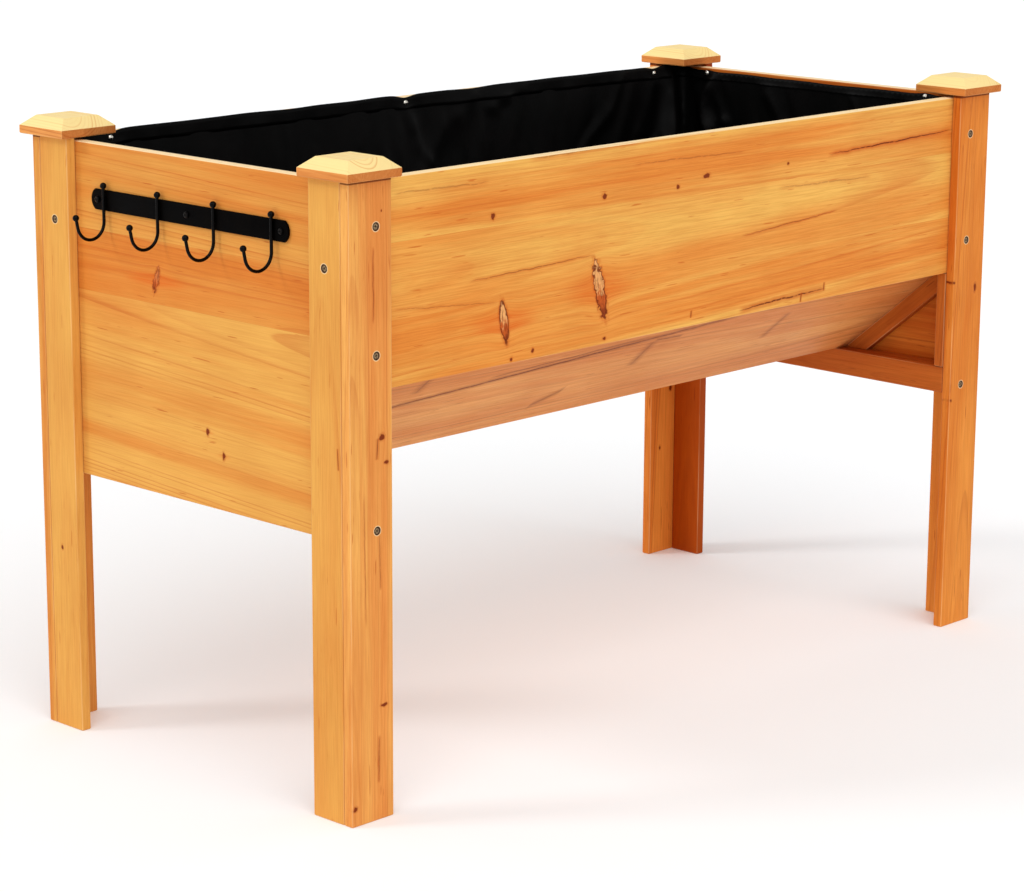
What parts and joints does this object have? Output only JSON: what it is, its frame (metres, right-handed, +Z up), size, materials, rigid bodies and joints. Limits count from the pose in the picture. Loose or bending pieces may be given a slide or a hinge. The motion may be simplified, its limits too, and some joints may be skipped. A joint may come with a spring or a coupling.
{
  "type": "raised planter on legs",
  "caption": "Raised wooden garden planter on four L-section legs with capped posts, a V-bottomed trough, a fabric liner and a rail of tool hooks.",
  "frame": {"origin": "centre of the whole object's footprint box, on the ground", "axes": "+X along the length, away from the hook end; +Y towards the rear; +Z up"},
  "size_m": [1.2466, 0.5826, 0.7705],
  "materials": {
    "leg_wood": "satin honey stain on softwood, growth rings and small knots showing",
    "panel_wood": "satin honey-orange stain on edge-glued softwood, with knots and paler unstained top edges",
    "cap_wood": "satin pale honey stain on softwood",
    "trough_wood": "thin matt stain on softwood",
    "frame_wood": "thin matt stain on sawn softwood",
    "liner_fabric": "black nonwoven cloth, slight sheen, creased",
    "black_steel": "satin black powder coat",
    "zinc_steel": "dull zinc plate",
    "tack_steel": "bright domed tack heads"
  },
  "bodies": {
    "root": {"front_left_leg_face_board": "leg_wood", "front_left_leg_side_board": "leg_wood", "front_left_post_cap": "cap_wood", "front_left_leg_filler": "frame_wood", "front_left_slope_cleat": "frame_wood", "front_right_leg_face_board": "leg_wood", "front_right_leg_side_board": "leg_wood", "front_right_post_cap": "cap_wood", "front_right_leg_filler": "frame_wood", "front_right_slope_cleat": "frame_wood", "rear_left_leg_face_board": "leg_wood", "rear_left_leg_side_board": "leg_wood", "rear_left_post_cap": "cap_wood", "rear_left_leg_filler": "frame_wood", "rear_left_slope_cleat": "frame_wood", "rear_right_leg_face_board": "leg_wood", "rear_right_leg_side_board": "leg_wood", "rear_right_post_cap": "cap_wood", "rear_right_leg_filler": "frame_wood", "rear_right_slope_cleat": "frame_wood", "front_panel": "panel_wood", "rear_panel": "panel_wood", "left_end_panel": "panel_wood", "right_end_panel": "panel_wood", "front_trough_board": "trough_wood", "rear_trough_board": "trough_wood", "front_floor_board": "trough_wood", "rear_floor_board": "trough_wood", "left_floor_batten": "frame_wood", "right_floor_batten": "frame_wood", "planting_liner": "liner_fabric", "hook_rail": "black_steel", "tool_hook_1": "black_steel", "tool_hook_2": "black_steel", "tool_hook_3": "black_steel", "tool_hook_4": "black_steel", "hook_rail_screw_1": "black_steel", "hook_rail_screw_2": "black_steel", "hook_rail_screw_3": "black_steel", "front_left_face_screw_bottom": "zinc_steel", "front_left_face_screw_middle": "zinc_steel", "front_left_face_screw_top": "zinc_steel", "front_left_side_screw": "zinc_steel", "front_right_face_screw_bottom": "zinc_steel", "front_right_face_screw_middle": "zinc_steel", "front_right_face_screw_top": "zinc_steel", "front_right_side_screw": "zinc_steel", "rear_left_face_screw_bottom": "zinc_steel", "rear_left_face_screw_middle": "zinc_steel", "rear_left_face_screw_top": "zinc_steel", "rear_left_side_screw": "zinc_steel", "rear_right_face_screw_bottom": "zinc_steel", "rear_right_face_screw_middle": "zinc_steel", "rear_right_face_screw_top": "zinc_steel", "rear_right_side_screw": "zinc_steel"}
  },
  "joints": []
}
